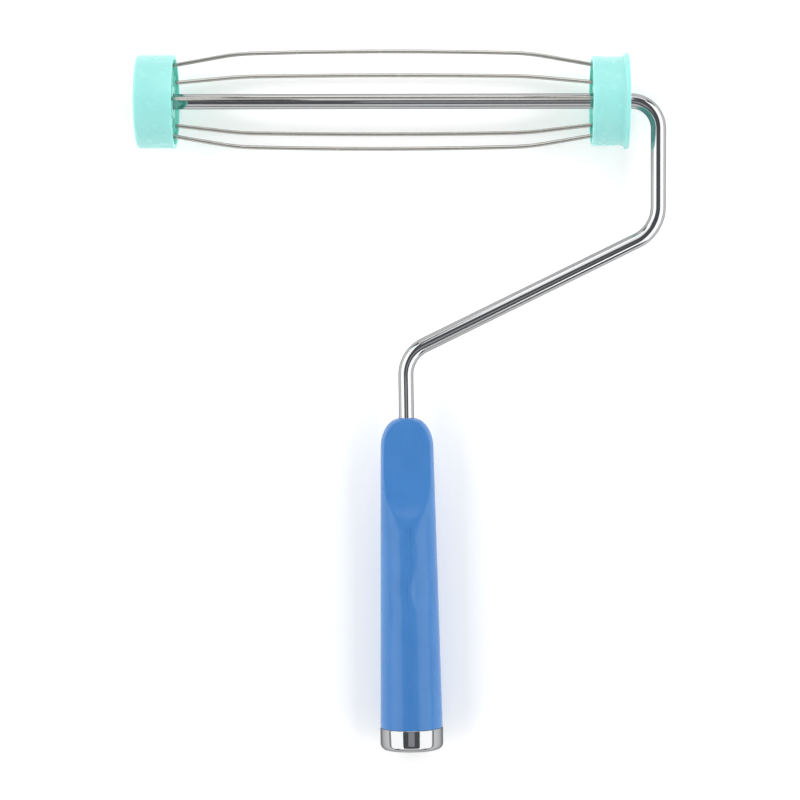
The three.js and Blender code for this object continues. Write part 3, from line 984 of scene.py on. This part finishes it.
# %% Handle sizes
HANDLE = TOOL @ axes(
    (math.cos(HANDLE_LEAN), math.sin(HANDLE_LEAN), 0), (0, 0, -1), -handle_line, HANDLE_TOP
)
HANDLE_LENGTH = -(HANDLE.inverted() @ Vector(seat["pos_m"])).z
FERRULE_R = 14.9 * MM
FERRULE_HEIGHT = 10.4 * MM
FERRULE_WALL = 0.6 * MM
SHOULDER_R = 12.55 * MM
SHOULDER_DEPTH = 14 * MM
FOOT_R = 14.75 * MM
DOME_FLAT_R = 3 * MM
INSERT_SEAT_R = 12 * MM
SOCKET_DEPTH = 34 * MM
SOCKET_FLOOR = 3.3 * MM
ferrule_top = HANDLE_LENGTH - FERRULE_HEIGHT
print("handle length in mm", round(HANDLE_LENGTH / MM, 2))


def body_radius(depth):
    """The handle's radius below its dome."""
    share = (depth - SHOULDER_DEPTH) / (ferrule_top - SHOULDER_DEPTH)
    return SHOULDER_R + (FOOT_R - SHOULDER_R) * share


# %% The dome and the body
DOME_STEPS = 26
DOME_START = 0.6 * MM
RING_SPACING = 1.1 * MM
dome_width = SHOULDER_R - DOME_FLAT_R
dome = [
    (DOME_FLAT_R + dome_width * sine, -SHOULDER_DEPTH * (1 - cosine))
    for sine, cosine in quarter_turn(DOME_STEPS)[1:-1]
]
dome = [point for point in dome if point[0] > ROD_R + DOME_START]
body_length = ferrule_top - SHOULDER_DEPTH
ring_count = round(body_length / RING_SPACING)
depths = [SHOULDER_DEPTH + body_length * step / ring_count for step in range(ring_count)]
body = [(body_radius(depth), -depth) for depth in depths]
print("rings in the dome", len(dome), "and in the body", len(body))

# %% Stack the handle's rings
HOLE_EASE = 0.25 * MM
HOLE_DEPTH = 6 * MM
CORE_R, CORE_TOP_R = 9.8 * MM, 5.0 * MM
CORE_TOP, CORE_SHOULDER = 57 * MM, 60 * MM
rod_hole = ROD_R + CLEARANCE
insert_top = HANDLE_LENGTH - SOCKET_DEPTH - SOCKET_FLOOR
shell_end = HANDLE_LENGTH - 1 * MM
foot = FERRULE_R - FERRULE_WALL - CLEARANCE
grip = ring_stack(
    "blue_handle",
    [
        (rod_hole, -HOLE_DEPTH),
        (rod_hole, -HOLE_EASE),
        (rod_hole + HOLE_EASE, 0),
        *dome,
        *body,
        (FOOT_R, -(ferrule_top - 0.15 * MM)),
        (FOOT_R - 0.25 * MM, -(ferrule_top + 0.1 * MM)),
        (foot, -(ferrule_top + 0.3 * MM)),
        (foot, -shell_end),
        (INSERT_SEAT_R, -shell_end),
        (INSERT_SEAT_R, -insert_top),
        (CORE_R, -insert_top),
        (CORE_R, -CORE_SHOULDER),
        (CORE_TOP_R, -CORE_TOP),
        (CORE_TOP_R, -HOLE_DEPTH),
    ],
    sides=176,
    closed=True,
)

# %% [markdown]
# A thumb rest lies flat for 24 mm and then runs out of the handle in a long curve, and the
# fillet at its edge grows wider as it fades. Below it the handle is very slightly wavy, as
# polished mouldings are, which shows in its bands of light. The waves swell and die away again
# along the handle, and leave its sides and its middle line alone.

# %% The thumb rest's curve
REST_DEPTH = 6.35 * MM
REST_LENGTH = 24 * MM
REST_RUNOUT = 54 * MM
REST_END = REST_LENGTH + 45 * MM
EDGE_FILLET = 0.28 * MM
FADE_START = 38 * MM
FADE_RATE = 0.22


def rest_height(depth):
    """How far the thumb rest lies from the handle's axis."""
    past = max(0.0, depth - REST_LENGTH)
    return REST_DEPTH + REST_RUNOUT - math.sqrt(max(0.0, REST_RUNOUT**2 - past**2))


def smooth_min(first, second, fillet):
    """The smaller of two lengths, with a fillet where they meet."""
    mix = max(0.0, min(1.0, 0.5 + 0.5 * (second - first) / fillet))
    return second * (1 - mix) + first * mix - fillet * mix * (1 - mix)


# %% The body's waves
WAVE_START, WAVE_LENGTH = 50 * MM, 58 * MM
WAVE_HEIGHT = 1.1 * MM
WAVE_FREE = 3 * MM
WAVES_ACROSS, WAVES_ALONG, WAVE_SHIFT = 110, 75, 3


def wave_growth(across, front, depth):
    """What a point's distance from the handle's axis is multiplied by."""
    radius = math.hypot(across, front)
    swell = math.sin(math.pi * max(0.0, min(1.0, (depth - WAVE_START) / WAVE_LENGTH)))
    spot = (across * WAVES_ACROSS, front * WAVES_ACROSS, depth * WAVES_ALONG + WAVE_SHIFT)
    facing = (front / radius) ** 2 * min(1.0, abs(across) / WAVE_FREE)
    return 1 + WAVE_HEIGHT * swell * facing * noise.noise(Vector(spot)) / radius


# %% Press the rests and the waves into the rings
BODY_LEAST_R = 12.4 * MM
NEAR_SIDES = 2 * MM
moved = 0
for point in grip.data.vertices:
    across, front, height = point.co
    depth = -height
    radius = math.hypot(across, front)
    in_hole = radius <= rod_hole + 0.1 * MM
    in_shell = radius <= BODY_LEAST_R and depth >= SHOULDER_DEPTH
    if in_hole or in_shell or depth > ferrule_top - 0.5 * MM:
        continue
    if WAVE_START < depth < WAVE_START + WAVE_LENGTH:
        growth = wave_growth(across, front, depth)
        point.co.x *= growth
        point.co.y *= growth
        front = point.co.y
    if depth < REST_END and abs(front) > NEAR_SIDES:
        fillet = EDGE_FILLET + FADE_RATE * max(0.0, depth - FADE_START)
        pressed = smooth_min(abs(front), rest_height(depth), fillet)
        point.co.y = math.copysign(max(0.0, pressed), front)
    moved += 1
print("points of the handle's outside:", moved)

# %% [markdown]
# A fine double line runs down the middle of the handle below each thumb rest, where the two
# halves of the mould met round a narrow insert. It is a low rib, 1.1 mm wide, joined to the
# body along its slope.

# %% Add the mould ribs
MOULD_RIB_WIDTH = 1.1 * MM
MOULD_RIB_HEIGHT = 0.14 * MM
MOULD_RIB_SUNK = 0.5 * MM
start, stop = 52 * MM, ferrule_top - 0.6 * MM
body_slope = math.atan2(body_radius(stop) - body_radius(start), stop - start)
centre_radius = body_radius((start + stop) / 2) + (MOULD_RIB_HEIGHT - MOULD_RIB_SUNK) / 2
for side in (-1, 1):
    bpy.ops.mesh.primitive_cube_add(size=1)
    rib = bpy.context.object
    rib.scale = (MOULD_RIB_WIDTH, MOULD_RIB_HEIGHT + MOULD_RIB_SUNK, stop - start)
    bpy.ops.object.transform_apply(location=False, rotation=False, scale=True)
    soften(rib, 0.1 * MM, segments=2)
    rib.rotation_euler.x = side * body_slope
    rib.location = (0, side * centre_radius, -(start + stop) / 2)
    bpy.ops.object.transform_apply(location=True, rotation=True, scale=True)
    combine(grip, rib)

# %% The handle's plastic
blue = moulded(
    "blue_plastic",
    BLUE_LIGHT,
    BLUE_DARK,
    gloss=0.17,
    glow=0.12,
    relief=0.05 * MM,
    frame_of_piece=HANDLE,
    flow_stretch=(1, 1, 0.45),
    ior=1.37,
)
settle(grip, HANDLE, blue, "handle_frame", "handle_grip", smooth_below=40)

# %% [markdown]
# ## The ferrule and the pole socket
#
# The ferrule is a thin chrome cup with its bottom rolled in. Inside it the socket has a round
# thread for an extension pole. A thread is one turn of its profile, lifted by its pitch as it
# goes round: the Screw modifier's own job.

# %% The ferrule
ferrule_chrome = chrome("ferrule_chrome", (174, 175, 176), 0.03, HANDLE, stretch=(1, 1, 0.3))
FERRULE_LIP_R = 11.2 * MM
ROLL = 2.8 * MM
TOP_CURL = 0.55 * MM
roll = [
    (FERRULE_R - ROLL + ROLL * cosine, -HANDLE_LENGTH + ROLL - ROLL * sine)
    for sine, cosine in quarter_turn(6)
]
bottom_in = -HANDLE_LENGTH + FERRULE_WALL
ferrule = ring_stack(
    "chrome_ferrule",
    [
        *quarter_round(FERRULE_R, -ferrule_top, TOP_CURL),
        *roll,
        (FERRULE_LIP_R, -HANDLE_LENGTH),
        (FERRULE_LIP_R, bottom_in),
        (FERRULE_R - ROLL, bottom_in),
        (FERRULE_R - 0.5 * ROLL, bottom_in + 0.2 * ROLL),
        (FERRULE_R - FERRULE_WALL, -HANDLE_LENGTH + ROLL),
        (FERRULE_R - FERRULE_WALL, -ferrule_top - TOP_CURL),
    ],
    sides=128,
    closed=True,
)
soften(ferrule, 0.15 * MM, segments=2)
settle(ferrule, HANDLE, ferrule_chrome, "handle_frame", "ferrule")

# %% The pole socket
SOCKET_R = 9.6 * MM
SOCKET_BODY_R = 11.7 * MM
SPIGOT_R = 10.9 * MM
VENT_R = 1 * MM
spigot_end = HANDLE_LENGTH - CLEARANCE
socket_top = -insert_top - CLEARANCE
socket_floor = -insert_top - SOCKET_FLOOR
spigot_top = -shell_end - 0.1 * MM
socket = ring_stack(
    "pole_socket",
    [
        (SOCKET_BODY_R, socket_top),
        (SOCKET_BODY_R, spigot_top),
        (SPIGOT_R, spigot_top),
        (SPIGOT_R, -spigot_end),
        (SOCKET_R, -spigot_end),
        (SOCKET_R, socket_floor),
        (VENT_R, socket_floor),
        (VENT_R, socket_top),
    ],
    sides=64,
    closed=True,
)
soften(socket, 0.25 * MM, segments=2)

# %% The socket's thread
THREAD_PITCH = 5.08 * MM
THREAD_TURNS = 5
RIDGE_R = 1.4 * MM
RIDGE_SUNK = 0.25 * MM
THREAD_START = 3 * MM
THREAD_STEPS = 48
bpy.ops.mesh.primitive_circle_add(
    vertices=12,
    radius=RIDGE_R,
    location=(SOCKET_R + RIDGE_SUNK, 0, -spigot_end + THREAD_START),
    rotation=(math.pi / 2, 0, 0),
)
thread = bpy.context.object
bpy.ops.object.transform_apply(location=True, rotation=True, scale=True)
modify(
    thread,
    "SCREW",
    screw_offset=THREAD_PITCH,
    iterations=THREAD_TURNS,
    steps=THREAD_STEPS,
    render_steps=THREAD_STEPS,
    use_merge_vertices=False,
)
edit(thread)
bpy.ops.mesh.select_mode(type="EDGE")
bpy.ops.mesh.select_all(action="DESELECT")
bpy.ops.mesh.select_non_manifold()
bpy.ops.mesh.fill_holes(sides=0)
close_shell(thread)
combine(socket, thread)
settle(socket, HANDLE, black_nylon, "handle_frame", "threaded_insert")

# %% [markdown]
# ## Sealed pieces
#
# The core round the tang, the outer washer and the push nut can't be seen without taking the
# tool apart. Their working solids stay, with their own finishes.

# %% Paint the sealed pieces
sealed = {"handle_core": black_nylon, "outer_thrust_washer": zinc, "push_nut": zinc}
for name, finish in sealed.items():
    node = frame["nodes"][name]
    node.data.materials.clear()
    node.data.materials.append(finish)
print("painted:", ", ".join(sealed))

# %% [markdown]
# ## Table, lights and camera
#
# Chrome shows its surroundings, so the lights are chosen for their reflections. Two long soft
# boxes stand to the left and right, and one beyond each end of the tool. They leave a gap
# overhead, which gives each bright bar its dark middle line, and a faint card in that gap keeps
# the line's core grey. Two dim low cards do the same for the bars' edges. A small box close by
# the far side of the axle lights the upper edge of what lies crosswise, without reaching into
# the dark line of the arm.
#
# The table is plain, pale acrylic, lit a little from within, so that shadows on it stay faint.

# %% The table
bpy.ops.mesh.primitive_plane_add(size=8)
table = bpy.context.object
table.name = "table"
table_recipe = Recipe("table_acrylic", Roughness=0.7, Emission_Strength=0.11)
speckle = table_recipe.cloud(table_recipe.place, 3 * MM, 2.0)
table_recipe.set(
    Base_Color=table_recipe.blend(speckle, shade(245, 245, 244), shade(248, 248, 247)),
    Emission_Color=(1.0, 0.99, 0.98, 1),
)
table.data.materials.append(table_recipe.material)

# %% The soft boxes
centre = (cad_box[0] + cad_box[1]) / 2


def soft_box(name, direction, from_zenith, distance, width, height, brightness, tint=(1, 1, 1)):
    """A soft box in this direction, so many degrees from straight up, facing the tool."""
    angle = math.radians(from_zenith)
    toward = Vector((*[part * math.sin(angle) for part in direction], math.cos(angle)))
    light = bpy.data.lights.new(name, "AREA")
    light.shape = "RECTANGLE"
    light.size = width
    light.size_y = height
    light.energy = brightness * math.pi * width * height
    light.color = tint
    holder = bpy.data.objects.new(name, light)
    bpy.context.collection.objects.link(holder)
    holder.location = centre + toward * distance
    holder.rotation_euler = toward.to_track_quat("Z", "Y").to_euler()
    holder.visible_camera = False
    print(name, from_zenith, "degrees from the zenith, brightness", brightness)


# %% Light the tool
BOX_DISTANCE = 1.2
BOX_LENGTH = 2.4
side_height = 2 * BOX_DISTANCE * math.tan(math.radians(25))
soft_box("left_box", (-1, 0), 56, BOX_DISTANCE, BOX_LENGTH, side_height, 2.1)
soft_box("right_box", (1, 0), 56, BOX_DISTANCE, BOX_LENGTH, side_height, 2.1)
soft_box("far_box", (0, 1), 70, BOX_DISTANCE, 1.4, 0.6, 1.3)
soft_box("axle_box", (0, 1), 48, 0.47, 0.28, 0.3, 1.6)
soft_box("near_box", (0, -1), 62, BOX_DISTANCE, 1.4, 0.85, 0.9)
soft_box("overhead_card", (0, -1), 12, 1.7, 0.66, 0.6, 0.4, (0.95, 0.93, 1.0))
for side in (-1, 1):
    soft_box(f"low_card_{side}", (side, 0), 86, 1.3, BOX_LENGTH, 0.24, 0.35)

# %% The room's faint light
world = bpy.data.worlds.new("studio")
bpy.context.scene.world = world
world.use_nodes = True
sky = world.node_tree.nodes["Background"]
sky.inputs["Color"].default_value = (0.9, 0.95, 1.0, 1)
sky.inputs["Strength"].default_value = 0.16
print("room light", round(sky.inputs["Strength"].default_value, 2))

# %% [markdown]
# The camera looks almost straight down on the middle of the tool, from a little towards the
# crank. Its lens follows from how wide a strip it has to see at the axle's height.

# %% The camera
CAMERA_HEIGHT = 1.3
AIM = TOOL @ Vector((9.8 * MM, -141 * MM, 0))
SIDESTEP = math.radians(1.0)
VIEW_WIDTH = 377.6 * MM
back = Vector((math.sin(SIDESTEP), 0, math.cos(SIDESTEP)))
camera_data = bpy.data.cameras.new("camera")
camera_data.sensor_width = 36
camera_data.lens = camera_data.sensor_width * CAMERA_HEIGHT / VIEW_WIDTH
camera_data.clip_start = 0.1
camera = bpy.data.objects.new("camera", camera_data)
bpy.context.collection.objects.link(camera)
right = Vector((0, 1, 0)).cross(back).normalized()
distance = (CAMERA_HEIGHT + spin["pos_m"][2] - AIM.z) / back.z
camera.matrix_world = axes(right, back.cross(right), back, AIM + back * distance)
bpy.context.scene.camera = camera
bpy.context.scene.view_settings.view_transform = "Standard"
print("camera at", [round(part, 3) for part in camera.location], "lens", round(camera_data.lens))
